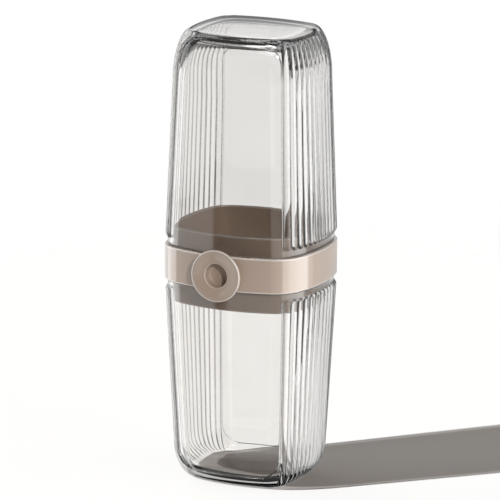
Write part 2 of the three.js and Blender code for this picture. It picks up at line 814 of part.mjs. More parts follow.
function returnSpring() {
  const steps = springTurns * springSteps;
  const axis = new THREE.Vector3(0, 1, 0);
  const positions = [];
  for (let i = 0; i <= steps; i++) {
    const angle = 2 * Math.PI * i / springSteps;
    const centre = springCentre(i / springSteps);
    const outward = new THREE.Vector3(Math.cos(angle), 0, Math.sin(angle));
    for (let j = 0; j < springSides; j++) {
      const around = 2 * Math.PI * j / springSides;
      const point = centre.clone();
      point.addScaledVector(outward, springWire / 2 * Math.cos(around));
      point.addScaledVector(axis, springWire / 2 * Math.sin(around));
      positions.push(...point.toArray());
    }
  }
  const index = [];
  for (let i = 0; i < steps; i++) {
    for (let j = 0; j < springSides; j++) {
      const k = (j + 1) % springSides;
      const a = i * springSides;
      const b = a + springSides;
      index.push(a + j, a + k, b + k, a + j, b + k, b + j);
    }
  }
  const last = steps * springSides;
  for (let j = 1; j < springSides - 1; j++) {
    index.push(0, j + 1, j);
    index.push(last, last + j, last + j + 1);
  }
  const geometry = new THREE.BufferGeometry();
  geometry.setAttribute('position', new THREE.Float32BufferAttribute(positions, 3));
  geometry.setIndex(index);
  return toSolid(geometry);
}

// The least gap of the wire to itself, measured between points at least half a turn apart.
function springSelfGap() {
  const samples = [];
  const count = springTurns * springSteps * springSides;
  for (let i = 0; i <= count; i++) samples.push(springCentre(springTurns * i / count));
  const halfTurn = springSteps * springSides / 2;
  let least = Infinity;
  for (let i = 0; i < samples.length; i++) {
    for (let j = i + halfTurn; j < samples.length; j++) {
      least = Math.min(least, samples[i].distanceTo(samples[j]));
    }
  }
  return least - springWire;
}

console.log(`return spring: least gap to itself ${springSelfGap().toFixed(2)} mm`);

// The assembly

const assembly = new THREE.Group();

function addPiece(name, solid, material) {
  const mesh = new THREE.Mesh(toGeometry(solid), material);
  mesh.name = name;
  assembly.add(mesh);
}

addPiece('base_cup', cupShell(cupShape, [-1, 1]), clearPlastic);
addPiece('lid_cup', cupShell(lidShape, [-1]), clearPlastic);
addPiece('outer_band', outerBand(), beigePlastic);
addPiece('collar_ring', collarRing(), beigePlastic);
addPiece('button_cap', buttonCap(), beigePlastic);
addPiece('latch_slider', latchSlider(), whitePlastic);
const sliderScrewTipY = stemEndY - pilotDepth + touchGap;
addPiece('slider_screw', screw(0, buttonZ, sliderBackY, sliderScrewTipY), steel);
addPiece('button_spring', returnSpring(), steel);
addPiece('housing_cover', housingCover(), whitePlastic);
addPiece('cover_screw_left', screw(-earOffset, bandMidZ, coverBackY, coverScrewTipY), steel);
addPiece('cover_screw_right', screw(earOffset, bandMidZ, coverBackY, coverScrewTipY), steel);

export default assembly;
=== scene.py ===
import math

import bmesh
import bpy
import numpy as np
from mathutils import Matrix, Vector


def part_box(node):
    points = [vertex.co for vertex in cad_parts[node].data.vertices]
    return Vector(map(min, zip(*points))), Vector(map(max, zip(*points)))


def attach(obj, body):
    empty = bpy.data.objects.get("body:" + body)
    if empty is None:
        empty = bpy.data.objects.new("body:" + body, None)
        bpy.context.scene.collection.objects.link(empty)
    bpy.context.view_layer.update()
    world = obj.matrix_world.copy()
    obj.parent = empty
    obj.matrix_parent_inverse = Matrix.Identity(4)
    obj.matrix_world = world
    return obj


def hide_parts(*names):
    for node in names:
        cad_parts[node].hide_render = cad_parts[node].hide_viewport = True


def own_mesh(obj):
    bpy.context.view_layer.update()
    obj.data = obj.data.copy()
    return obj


# Toothbrush travel case: finer shells, ring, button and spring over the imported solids, finishes
# for all of them, a pale floor and studio light. Metres, +Z up, the button faces -Y.

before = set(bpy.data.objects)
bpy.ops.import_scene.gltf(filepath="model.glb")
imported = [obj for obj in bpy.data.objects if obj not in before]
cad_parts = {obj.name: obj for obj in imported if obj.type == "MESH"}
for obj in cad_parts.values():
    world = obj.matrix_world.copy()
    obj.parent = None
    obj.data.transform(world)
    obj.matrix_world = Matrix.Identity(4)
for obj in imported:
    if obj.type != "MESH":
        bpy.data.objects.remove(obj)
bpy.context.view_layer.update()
scene = bpy.context.scene
print("frame loaded:", ", ".join(sorted(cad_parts)))


# Shader maths: a Wire is one output of a node, and sums and products of wires are Math nodes.

class Wire:
    def __init__(self, graph, socket):
        self.graph = graph
        self.socket = socket

    def maths(self, operation, *others):
        values = dict(enumerate((self, *others)))
        return self.graph.node("ShaderNodeMath", {"operation": operation}, values)

    def __add__(self, other):
        return self.maths("ADD", other)

    def __sub__(self, other):
        return self.maths("SUBTRACT", other)

    def __rsub__(self, other):
        return self.graph.node("ShaderNodeMath", {"operation": "SUBTRACT"}, {0: other, 1: self})

    def __mul__(self, other):
        return self.maths("MULTIPLY", other)

    def __truediv__(self, other):
        return self.maths("DIVIDE", other)

    def clamped(self):
        return self.graph.node("ShaderNodeClamp", {}, {"Value": self})

    def sibling(self, name):
        return Wire(self.graph, self.socket.node.outputs[name])


class Graph:
    def __init__(self, owner):
        owner.use_nodes = True
        self.tree = owner.node_tree
        self.tree.nodes.clear()

    def node(self, kind, settings, values, output=0):
        made = self.tree.nodes.new(kind)
        for name, value in settings.items():
            if name == "stops":
                setStops(made.color_ramp, value)
            else:
                setattr(made, name, value)
        for name, value in values.items():
            if isinstance(value, Wire):
                self.tree.links.new(value.socket, made.inputs[name])
            else:
                made.inputs[name].default_value = value
        return Wire(self, made.outputs[output]) if made.outputs else None


def setStops(colourRamp, stops):
    for element, (place, colour) in zip(colourRamp.elements, stops):
        element.position = place
        element.color = (*colour, 1)


def noise(graph, place, scale, detail=2.0):
    values = {"Vector": place, "Scale": scale, "Detail": detail}
    return graph.node("ShaderNodeTexNoise", {}, values)


def ramp(graph, factor, limits, deeper, paler):
    stops = list(zip(limits, (deeper, paler)))
    return graph.node("ShaderNodeValToRGB", {"stops": stops}, {"Fac": factor})


def bump(graph, height, strength, distance):
    values = {"Height": height, "Strength": strength, "Distance": distance}
    return graph.node("ShaderNodeBump", {}, values)


def lightPath(graph, output):
    return graph.node("ShaderNodeLightPath", {}, {}, output)


def objectPlace(graph):
    return graph.node("ShaderNodeTexCoord", {}, {}, "Object")


# Finishes

clearPlastic = {
    "paler": (0.965, 0.957, 0.944),
    "deeper": (0.95, 0.938, 0.922),
    "cloudScale": 45,
    "cloudLimits": (0.35, 0.65),
    "refraction": 1.5,
    "haze": 0.005,
    "waveScale": 70,
    "waveStrength": 0.25,
    "waveDepth": 0.00004,
    # Painted shade: the clear tint darkens where a wall is seen edge-on
    "paintedEdgeShadeStart": 0.8,
    "paintedEdgeShadeWidth": 0.2,
    "paintedEdgeShadeDepth": 0.8,
    # Painted shade: the clear tint darkens in the rib valleys
    "paintedValleyShadeStart": 0.485,
    "paintedValleyShadeWidth": 0.05,
    "paintedValleyShadeDepth": 0.88,
    "lightLeft": (0.62, 0.6, 0.585),
}


def clearFinish(settings):
    material = bpy.data.materials.new("clearPlastic")
    graph = Graph(material)
    place = objectPlace(graph)
    clouds = noise(graph, place, settings["cloudScale"])
    tint = ramp(graph, clouds, settings["cloudLimits"], settings["deeper"], settings["paler"])
    # Painted shade: darker where the wall is seen edge-on, in place of dark refractions
    facing = graph.node("ShaderNodeLayerWeight", {}, {}, "Facing")
    edge = ((facing - settings["paintedEdgeShadeStart"]) / settings["paintedEdgeShadeWidth"]).clamped()
    # Painted shade: darker in the rib valleys, where the surface is least pointy
    fold = graph.node("ShaderNodeNewGeometry", {}, {}, "Pointiness")
    paintedValleyShade = ((settings["paintedValleyShadeStart"] - fold) / settings["paintedValleyShadeWidth"]).clamped()
    # Share of the tint left after both painted shades
    paintedShadeFactor = (1.0 - edge * settings["paintedEdgeShadeDepth"]) * (1.0 - paintedValleyShade * settings["paintedValleyShadeDepth"])
    tint = graph.node("ShaderNodeVectorMath", {"operation": "SCALE"}, {0: tint, "Scale": paintedShadeFactor})
    haze = clouds * settings["haze"] + settings["haze"] / 2
    waves = noise(graph, place, settings["waveScale"], detail=1.0)
    relief = bump(graph, waves, settings["waveStrength"], settings["waveDepth"])
    glass = graph.node("ShaderNodeBsdfPrincipled", {}, {
        "Base Color": tint,
        "Roughness": haze,
        "IOR": settings["refraction"],
        "Transmission Weight": 1.0,
        "Normal": relief,
    })
    through = graph.node("ShaderNodeBsdfTransparent", {}, {"Color": (*settings["lightLeft"], 1)})
    lamplight = (lightPath(graph, "Is Shadow Ray") + lightPath(graph, "Is Diffuse Ray")).clamped()
    shader = graph.node("ShaderNodeMixShader", {}, {0: lamplight, 1: glass, 2: through})
    graph.node("ShaderNodeOutputMaterial", {}, {"Surface": shader})
    return material


beigePlastic = {
    "paler": (0.47, 0.362, 0.288),
    "deeper": (0.435, 0.332, 0.262),
    "cloudScale": 25,
    "cloudLimits": (0.3, 0.7),
    "gloss": 0.34,
    "glossChange": 0.08,
    "grainScale": 1400,
    "grainStrength": 0.35,
    "grainDepth": 0.000004,
    "refraction": 1.5,
    "coat": 1.0,
    "coatGloss": 0.03,
    "coatRefraction": 1.6,
    # Painted highlight: paler tone mixed onto marked rounded edges
    "edgeHighlightTone": (0.86, 0.8, 0.75),
    "edgeHighlightShare": 0.6,
}

whitePlastic = {
    "paler": (0.74, 0.72, 0.69),
    "deeper": (0.68, 0.66, 0.63),
    "cloudScale": 60,
    "cloudLimits": (0.3, 0.7),
    "gloss": 0.38,
    "glossChange": 0.12,
    "grainScale": 2200,
    "grainStrength": 0.35,
    "grainDepth": 0.00001,
    "refraction": 1.5,
    "coat": 0.0,
    "coatGloss": 0.03,
    "coatRefraction": 1.5,
    # Painted highlight: paler tone mixed onto marked rounded edges
    "edgeHighlightTone": (0.82, 0.81, 0.79),
    "edgeHighlightShare": 0.4,
}


# Rounded edges turn by a few degrees from face to face. They are marked point by point for a
# painted highlight, a paler tone, with less of it on the lip of the button's recess

paintedHighlightTurn = {
    "mark": "paintedEdgeHighlight",
    "least": math.radians(4),
    "full": math.radians(9),
    "most": math.radians(30),
    "lipHighlightShare": 0.3,
}


def mouldedFinish(name, settings):
    material = bpy.data.materials.new(name)
    graph = Graph(material)
    place = objectPlace(graph)
    clouds = noise(graph, place, settings["cloudScale"], detail=3.0)
    colour = ramp(graph, clouds, settings["cloudLimits"], settings["deeper"], settings["paler"])
    # Painted highlight: marked rounded edges are mixed towards a paler tone
    edge = graph.node("ShaderNodeAttribute", {"attribute_name": paintedHighlightTurn["mark"]}, {}, "Fac")
    mixed = {0: edge * settings["edgeHighlightShare"], 6: colour, 7: (*settings["edgeHighlightTone"], 1)}
    colour = graph.node("ShaderNodeMix", {"data_type": "RGBA"}, mixed, 2)
    grain = noise(graph, place, settings["grainScale"])
    gloss = clouds * settings["glossChange"] + settings["gloss"]
    relief = bump(graph, grain, settings["grainStrength"], settings["grainDepth"])
    shader = graph.node("ShaderNodeBsdfPrincipled", {}, {
        "Base Color": colour,
        "Roughness": gloss,
        "IOR": settings["refraction"],
        "Coat Weight": settings["coat"],
        "Coat Roughness": settings["coatGloss"],
        "Coat IOR": settings["coatRefraction"],
        "Normal": relief,
    })
    graph.node("ShaderNodeOutputMaterial", {}, {"Surface": shader})
    return material


steelWire = {
    "paler": (0.62, 0.62, 0.61),
    "deeper": (0.45, 0.45, 0.46),
    "streakScale": 900,
    "streakStretch": (1.0, 0.12, 1.0),
    "streakLimits": (0.3, 0.7),
    "gloss": 0.22,
    "glossChange": 0.2,
    "scratchStrength": 0.4,
    "scratchDepth": 0.000008,
}


def steelFinish(settings):
    material = bpy.data.materials.new("brightSteel")
    graph = Graph(material)
    values = {"Vector": objectPlace(graph), "Scale": settings["streakStretch"]}
    stretched = graph.node("ShaderNodeMapping", {}, values)
    streaks = noise(graph, stretched, settings["streakScale"], detail=3.0)
    colour = ramp(graph, streaks, settings["streakLimits"], settings["deeper"], settings["paler"])
    gloss = streaks * settings["glossChange"] + settings["gloss"]
    relief = bump(graph, streaks, settings["scratchStrength"], settings["scratchDepth"])
    shader = graph.node("ShaderNodeBsdfPrincipled", {}, {
        "Base Color": colour,
        "Metallic": 1.0,
        "Roughness": gloss,
        "Normal": relief,
    })
    graph.node("ShaderNodeOutputMaterial", {}, {"Surface": shader})
    return material


clearMaterial = clearFinish(clearPlastic)
beigeMaterial = mouldedFinish("beigePlastic", beigePlastic)
whiteMaterial = mouldedFinish("whitePlastic", whitePlastic)
steelMaterial = steelFinish(steelWire)
print("finishes made")


# Plan of the case: bowed sides and round corners, each point named by the angle of its outward
# normal from -Y towards +X

casePlan = {
    "halfWidth": 0.0365,
    "halfDepth": 0.0342,
    "bow": 0.074,
    "corner": 0.0158,
    "ribHeight": 0.0012,
    "wall": 0.0022,
    "ribs": 14,
    "plainRim": 0.003,
    "windowAngle": math.radians(43),
    "frameWidth": 0.0008,
    "frameSlope": 0.0003,
    "edgeSoftness": 0.00032,
    "rimSoftness": 0.0006,
    "borderSoftness": 0.0009,
    "rimChamfer": 0.0003,
    "hollowCornerShare": 0.5,
}
wallInset = casePlan["ribHeight"] + casePlan["wall"]

lidShape = {
    "rim": 0.1113,
    "direction": 1,
    "height": 0.0987,
    "widthDraft": 0.0029,
    "depthDraft": 0.0031,
    "curveRise": 0.0235,
    "curveReach": 0.0085,
    "endThickness": 0.004,
    "hollowRise": 0.022,
    "hollowReach": 0.0105,
    "ribEndGap": 0.0018,
    "windowEndGap": 0.0018,
    "windowCornerRise": 0.012,
    "windowCornerReach": 0.0105,
}

cupShape = {
    "rim": 0.0945,
    "direction": -1,
    "height": 0.0945,
    "widthDraft": 0.0038,
    "depthDraft": 0.0049,
    "curveRise": 0.017,
    "curveReach": 0.0121,
    "endThickness": 0.004,
    "hollowRise": 0.015,
    "hollowReach": 0.0105,
    "ribEndGap": 0.0016,
    "windowEndGap": 0.0069,
    "windowCornerRise": 0.009,
    "windowCornerReach": 0.009,
}


def planArcs(halfWidth, halfDepth, corner):
    bow = casePlan["bow"]
    frontY = bow - halfDepth
    sideX = halfWidth - bow
    span = math.hypot(sideX, frontY) / 2
    reach = math.sqrt((bow - corner) ** 2 - span ** 2)
    cornerX = sideX / 2 + reach * frontY / (2 * span)
    cornerY = frontY / 2 + reach * sideX / (2 * span)
    frontEnd = math.atan2(cornerX, frontY - cornerY)
    sideStart = math.atan2(cornerX - sideX, -cornerY)
    return {
        "frontY": frontY,
        "sideX": sideX,
        "corner": (cornerX, cornerY, corner),
        "frontEnd": frontEnd,
        "sideStart": sideStart,
    }


bandArcs = planArcs(casePlan["halfWidth"], casePlan["halfDepth"], casePlan["corner"])


def planPoints(arcs, angles, insets):
    across = np.sin(angles)
    along = -np.cos(angles)
    folded = np.arctan2(np.abs(across), np.abs(along))
    front = folded < arcs["frontEnd"]
    side = folded > arcs["sideStart"]
    cornerX, cornerY, corner = arcs["corner"]
    centreX = np.where(front, 0.0, np.where(side, arcs["sideX"], cornerX))
    centreY = np.where(front, arcs["frontY"], np.where(side, 0.0, cornerY))
    radius = np.where(front | side, casePlan["bow"], corner) - insets
    x = centreX + radius * np.abs(across)
    y = centreY - radius * np.abs(along)
    return np.where(across < 0, -x, x), np.where(along < 0, y, -y)


def rowAt(points, z):
    x, y = points
    return np.column_stack([x, y, np.full(len(x), z)])


def quarterReach(rise, reach, h):
    turn = math.asin(min(max(h / rise, 0.0), 1.0))
    return reach * (1 - math.cos(turn))


def draftedArcs(shape, h, reach, cornerReach):
    share = min(h / (shape["height"] - shape["curveRise"]), 1.0)
    return planArcs(
        casePlan["halfWidth"] - shape["widthDraft"] * share - reach,
        casePlan["halfDepth"] - shape["depthDraft"] * share - reach,
        casePlan["corner"] - cornerReach,
    )


def crestArcs(shape, h):
    rise = shape["curveRise"]
    reach = quarterReach(rise, shape["curveReach"], h - shape["height"] + rise)
    return draftedArcs(shape, h, reach, reach)


def hollowArcs(shape, h):
    start = shape["height"] - shape["endThickness"] - shape["hollowRise"]
    reach = quarterReach(shape["hollowRise"], shape["hollowReach"], h - start)
    return draftedArcs(shape, h, reach, reach * casePlan["hollowCornerShare"])


# Ribs share out the way round a side, from the front window's edge to the back window's

def ribbedLengths(arcs):
    cornerLength = arcs["corner"][2] * (arcs["sideStart"] - casePlan["windowAngle"])
    sideLength = casePlan["bow"] * (math.pi - 2 * arcs["sideStart"])
    return cornerLength, sideLength


def sideAngles(arcs, shares):
    corner = arcs["corner"][2]
    cornerLength, sideLength = ribbedLengths(arcs)
    along = shares * (2 * cornerLength + sideLength)
    nearFront = casePlan["windowAngle"] + along / corner
    onSide = arcs["sideStart"] + (along - cornerLength) / casePlan["bow"]
    nearBack = math.pi - arcs["sideStart"] + (along - cornerLength - sideLength) / corner
    beyondFront = np.where(along < cornerLength + sideLength, onSide, nearBack)
    return np.where(along < cornerLength, nearFront, beyondFront)


def ribPitch(arcs):
    cornerLength, sideLength = ribbedLengths(arcs)
    return (2 * cornerLength + sideLength) / casePlan["ribs"]


def ribRise(pitch, across, fromEnd):
    half = pitch / 2
    height = casePlan["ribHeight"]
    radius = (half ** 2 + height ** 2) / (2 * height)
    endward = max(half - fromEnd, 0.0)
    square = np.maximum(radius ** 2 - (across * half) ** 2 - endward ** 2, 0.0)
    return np.maximum(np.sqrt(square) - (radius - height), 0.0)


def smoothStep(t):
    t = np.clip(t, 0.0, 1.0)
    return t * t * (3 - 2 * t)


# The window's edge in the front view: straight sides, then a quarter of an ellipse

def windowSide(shape, h):
    arcs = crestArcs(shape, h)
    edge = casePlan["windowAngle"] - casePlan["frameWidth"] / arcs["corner"][2]
    return planPoints(arcs, edge, casePlan["ribHeight"])[0]


def windowCornerStart(shape):
    return shape["height"] - shape["windowEndGap"] - shape["windowCornerRise"]


nearZero = 1e-9


def windowDistance(shape, h, x):
    start = windowCornerStart(shape)
    if h < start:
        return np.abs(x) - windowSide(shape, h)
    rise = shape["windowCornerRise"]
    reach = shape["windowCornerReach"]
    u = np.maximum(np.abs(x) - (windowSide(shape, start) - reach), 0.0) / reach
    v = (h - start) / rise
    size = np.sqrt(u ** 2 + v ** 2)
    slope = np.sqrt((u / reach) ** 2 + (v / rise) ** 2)
    return (size - 1) * size / np.maximum(slope, nearZero)


def windowEdgeAngle(shape, h, arcs):
    start = windowCornerStart(shape)
    if h < start:
        x = windowSide(shape, h)
    else:
        v = min((h - start) / shape["windowCornerRise"], 1.0)
        x = windowSide(shape, start) - shape["windowCornerReach"] * (1 - math.sqrt(1 - v ** 2))
    turn = math.asin(x / (casePlan["bow"] - casePlan["ribHeight"]))
    if turn < arcs["frontEnd"]:
        return turn
    cornerX, _, corner = arcs["corner"]
    return math.asin((x - cornerX) / (corner - casePlan["ribHeight"]))


# How close the shells' points lie: densest along the window's edge, at the ribs' round ends and
# beside the rim, where the guard rows keep smooth shading true

grid = {
    "fieldColumns": 34,
    "softShares": (0.0, 0.2, 0.4, 0.6, 0.8, 1.0),
    "frameColumns": 22,
    "slopeColumns": 5,
    "ribColumns": 12,
    "rimGuards": (0.0003, 0.0005),
    "firstRow": 0.001,
    "ribGuards": (0.0006, 0.0002),
    "domeShares": (0.0, 0.04, 0.08, 0.13, 0.19, 0.27, 0.36, 0.48, 0.62, 0.8, 1.0),
    "curveGuard": 0.001,
    "wallRows": 8,
    "shoulderRows": (6, 40, 18),
    "hollowRows": 6,
    "ceilingRows": 24,
}


# Columns across the front field: their spacing follows the window's edge

def fieldAngles(shape, h, arcs):
    corner = arcs["corner"][2]
    outer = casePlan["windowAngle"]
    edge = windowEdgeAngle(shape, h, arcs)
    frameTop = outer - casePlan["frameSlope"] / corner
    soft = casePlan["edgeSoftness"] / (casePlan["bow"] if edge < arcs["frontEnd"] else corner)
    half = np.concatenate([
        np.linspace(0, edge - soft / 2, grid["fieldColumns"]),
        edge + soft * np.array(grid["softShares"]),
        np.linspace(edge + soft, frameTop, grid["frameColumns"])[1:],
        np.linspace(frameTop, outer, grid["slopeColumns"])[1:-1],
    ])
    return np.concatenate([-half[:0:-1], half])


def outsideRow(shape, h):
    arcs = crestArcs(shape, h)
    pitch = ribPitch(arcs)
    depth = casePlan["ribHeight"]
    fromRim = h - casePlan["plainRim"]
    fromEnd = shape["height"] - shape["ribEndGap"] - h
    field = fieldAngles(shape, h, arcs)
    x = planPoints(arcs, field, depth)[0]
    outer = casePlan["windowAngle"]
    frameTop = outer - casePlan["frameSlope"] / arcs["corner"][2]
    slopeShare = (outer - np.abs(field)) / (outer - frameTop)
    raised = smoothStep(windowDistance(shape, h, x) / casePlan["edgeSoftness"])
    raised = raised * smoothStep(fromRim / casePlan["rimSoftness"])
    border = float(smoothStep(1 - fromEnd / casePlan["borderSoftness"]))
    ridge = np.maximum(smoothStep(slopeShare), border)
    fieldInset = depth * (1 - raised * ridge)
    columns = grid["ribColumns"]
    steps = np.arange(casePlan["ribs"] * columns + 1)
    across = 2 * (steps % columns) / columns - 1
    rise = ribRise(pitch, across, fromRim) if fromRim > 0 else np.zeros(len(steps))
    rise = rise + (depth - rise) * border
    ribs = sideAngles(arcs, steps / steps[-1])
    angles = np.concatenate([field, ribs])
    insets = np.concatenate([fieldInset, depth - rise])
    angles = np.concatenate([angles, angles + math.pi])
    insets = np.concatenate([insets, insets])
    return rowAt(planPoints(arcs, angles, insets), shape["rim"] + shape["direction"] * h), angles


def insideRow(shape, h, angles, extra):
    points = planPoints(hollowArcs(shape, h), angles, wallInset + extra)
    return rowAt(points, shape["rim"] + shape["direction"] * h)


def outsideHeights(shape):
    rim = casePlan["plainRim"]
    start = shape["height"] - shape["curveRise"]
    dome = ribPitch(crestArcs(shape, 0)) / 2
    heights = [*grid["rimGuards"], grid["firstRow"], *(rim - gap for gap in grid["ribGuards"])]
    heights += [rim + dome * share for share in grid["domeShares"]]
    heights += list(np.linspace(rim + dome, start - grid["curveGuard"], grid["wallRows"])[1:])
    heights.append(start)
    top = shape["height"] - shape["windowEndGap"]
    firstTurn = math.asin(max(windowCornerStart(shape) - start, 0) / shape["curveRise"])
    topTurn = math.asin((top - start) / shape["curveRise"])
    bends = (0, firstTurn, topTurn, math.pi / 2)
    for low, high, count in zip(bends, bends[1:], grid["shoulderRows"]):
        turns = np.linspace(low, high, count)[1:]
        heights += [start + shape["curveRise"] * math.sin(t) for t in turns]
    return heights


def insideHeights(shape):
    start = shape["height"] - shape["endThickness"] - shape["hollowRise"]
    heights = list(grid["rimGuards"])
    heights += list(np.linspace(grid["firstRow"], start - grid["curveGuard"], grid["hollowRows"]))
    heights.append(start)
    turns = np.linspace(0, math.pi / 2, grid["ceilingRows"])[1:]
    heights += [start + shape["hollowRise"] * math.sin(t) for t in turns]
    return heights


# Meshes: stacked rows of points, or a ring whose last row meets its first

def meshFrom(name, rows, ring=False, reverse=False):
    count = len(rows[0])
    vertices = np.concatenate(rows)
    i = np.arange(len(rows) if ring else len(rows) - 1)[:, None]
    j = np.arange(count)[None, :]
    k = (j + 1) % count
    n = (i + 1) % len(rows)
    corners = [i * count + j, i * count + k, n * count + k, n * count + j]
    faces = np.stack(corners, -1).reshape(-1, 4).tolist()
    if not ring:
        faces.append(list(range(count))[::-1])
        last = (len(rows) - 1) * count
        faces.append(list(range(last, last + count)))
    if reverse:
        faces = [face[::-1] for face in faces]
    mesh = bpy.data.meshes.new(name)
    mesh.from_pydata(vertices.tolist(), [], faces)
    mesh.update()
    return mesh


def pieceFrom(name, mesh, material, sharpAngle):
    piece = bpy.data.objects.new(name, mesh)
    scene.collection.objects.link(piece)
    mesh.shade_smooth()
    mesh.set_sharp_from_angle(angle=math.radians(sharpAngle))
    mesh.materials.clear()
    mesh.materials.append(material)
    return piece


def shellMesh(name, shape):
    angles = outsideRow(shape, 0.0)[1]
    chamfer = casePlan["rimChamfer"]
    outside = [outsideRow(shape, h)[0] for h in outsideHeights(shape)]
    points = planPoints(crestArcs(shape, 0), angles, casePlan["ribHeight"] + chamfer)
    rim = [rowAt(points, shape["rim"]), insideRow(shape, 0.0, angles, -chamfer)]
    inside = [insideRow(shape, h, angles, 0.0) for h in insideHeights(shape)]
    return meshFrom(name, outside[::-1] + rim + inside, reverse=shape["direction"] > 0)


# Boxes, rods and columns of the case's plan, for cutting and joining

def boxMesh(x0, x1, y0, y1, z0, z1):
    rows = [np.array([(x0, y0, z), (x1, y0, z), (x1, y1, z), (x0, y1, z)]) for z in (z0, z1)]
    return meshFrom("box", rows)


def fullTurn(steps):
    return np.linspace(0, 2 * math.pi, steps, endpoint=False)


def circleRow(turn, radius, x, y, z):
    across = x + radius * np.cos(turn)
    return np.column_stack([across, np.full(len(turn), y), z + radius * np.sin(turn)])


def rodMesh(radius, x, z, y0, y1, sides):
    rows = [circleRow(fullTurn(sides), radius, x, y, z) for y in (y1, y0)]
    return meshFrom("rod", rows)


def ringRow(arcs, inset, z):
    return rowAt(planPoints(arcs, fullTurn(ringSize["columns"]), inset), z)


def columnMesh(inset, z0, z1):
    return meshFrom("column", [ringRow(bandArcs, inset, z) for z in (z0, z1)])


def combined(mesh, other, operation):
    first = bpy.data.objects.new("first", mesh)
    second = bpy.data.objects.new("second", other)
    scene.collection.objects.link(first)
    scene.collection.objects.link(second)
    modifier = first.modifiers.new("combine", "BOOLEAN")
    modifier.solver = "MANIFOLD"
    modifier.operation = operation
    modifier.object = second
    shown = first.evaluated_get(bpy.context.evaluated_depsgraph_get())
    result = bpy.data.meshes.new_from_object(shown)
    bpy.data.objects.remove(first)
    bpy.data.objects.remove(second)
    return result


def cut(mesh, other):
    return combined(mesh, other, "DIFFERENCE")


def join(mesh, other):
    return combined(mesh, other, "UNION")


def common(mesh, other):
    return combined(mesh, other, "INTERSECT")


def roundedCorner(inset, z, insetWay, zWay, radius):
    turns = np.linspace(0, math.pi / 2, ringSize["cornerRows"])
    return [
        (inset + insetWay * radius * (1 - math.sin(t)), z + zWay * radius * (1 - math.cos(t)))
        for t in turns
    ]


ringSize = {
    "columns": 240,
    "cornerRows": 5,
    "skinRows": 4,
    "guard": 0.0002,
    "holeSides": 96,
    "bottom": 0.0948,
    "top": 0.111,
    "skin": 0.0011,
    "lip": 0.0012,
    "edgeRound": 0.0006,
    "collarWall": 0.0018,
    "collarTop": 0.1197,
    "collarBottom": 0.0849,
    "collarRound": 0.0005,
    "touchGap": 0.0003,
    "slideGap": 0.0004,
    "tongueWidth": 0.005,
    "tongueDrop": 0.0065,
    "tongueThinning": 0.0002,
    "catchOffset": 0.011,
    "catchDepth": 0.0035,
    "catchWidth": 0.003,
    "catchHeight": 0.0016,
    "catchReach": 0.0012,
}
ringSize["collarInset"] = wallInset + ringSize["touchGap"]
catchPlaces = (-ringSize["catchOffset"], ringSize["catchOffset"])
ringMiddle = (ringSize["bottom"] + ringSize["top"]) / 2

# Cutting solids go this far over what they cut, and this far out from the case's middle

over = 0.002
far = casePlan["halfDepth"] + over

# Each rim carries tongues that go in behind the band, with a hole for a catch or a latch nose

tongueSize = {
    "root": 0.001,
    "holeHalfWidth": 0.0018,
    "holeHalfHeight": 0.0011,
}


def tongueMesh(shape, x, side):
    size = ringSize
    rim, way = shape["rim"], shape["direction"]
    z0, z1 = sorted((rim + way * tongueSize["root"], rim - way * size["tongueDrop"]))
    outer = casePlan["ribHeight"] + size["tongueThinning"]
    inner = wallInset - size["tongueThinning"]
    wall = cut(columnMesh(outer, z0, z1), columnMesh(inner, z0 - over, z1 + over))
    half = size["tongueWidth"] / 2
    y0, y1 = sorted((0, side * far))
    plate = common(wall, boxMesh(x - half, x + half, y0, y1, z0 - over, z1 + over))
    z = rim - way * size["catchDepth"]
    wide, high = tongueSize["holeHalfWidth"], tongueSize["holeHalfHeight"]
    return cut(plate, boxMesh(x - wide, x + wide, y0, y1, z - high, z + high))


def buildShells():
    for name, node, body, shape, sides in (
        ("lidShell", "lid_cup", "lid", lidShape, (-1,)),
        ("cupShell", "base_cup", "case", cupShape, (-1, 1)),
    ):
        mesh = shellMesh(name, shape)
        for side in sides:
            for x in catchPlaces:
                mesh = join(mesh, tongueMesh(shape, x, side))
        piece = pieceFrom(name, mesh, clearMaterial, sharpAngle=50)
        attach(piece, body)
        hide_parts(node)
        print(name, len(piece.data.vertices), "points")


buildShells()


buttonSize = {
    "drop": 0.0007,
    "front": -0.0377,
    "radius": 0.012,
    "rimThickness": 0.0014,
    "rimRound": 0.0005,
    "dish": 0.0008,
    "recessRadius": 0.0055,
    "recessDepth": 0.005,
    "recessLip": 0.00045,
    "recessFloorRound": 0.0006,
    "recessFloor": 0.0012,
    "bossRadius": 0.0067,
    "stemRadius": 0.0035,
    "stemEnd": -0.02738,
    "pilotRadius": 0.0014,
    "pilotDepth": 0.0026,
    "floorCentre": 0.0004,
    "pilotCentre": 0.0002,
    "guard": 0.0002,
    "dishRows": 12,
    "sides": 160,
}
buttonSize["height"] = ringMiddle - buttonSize["drop"]


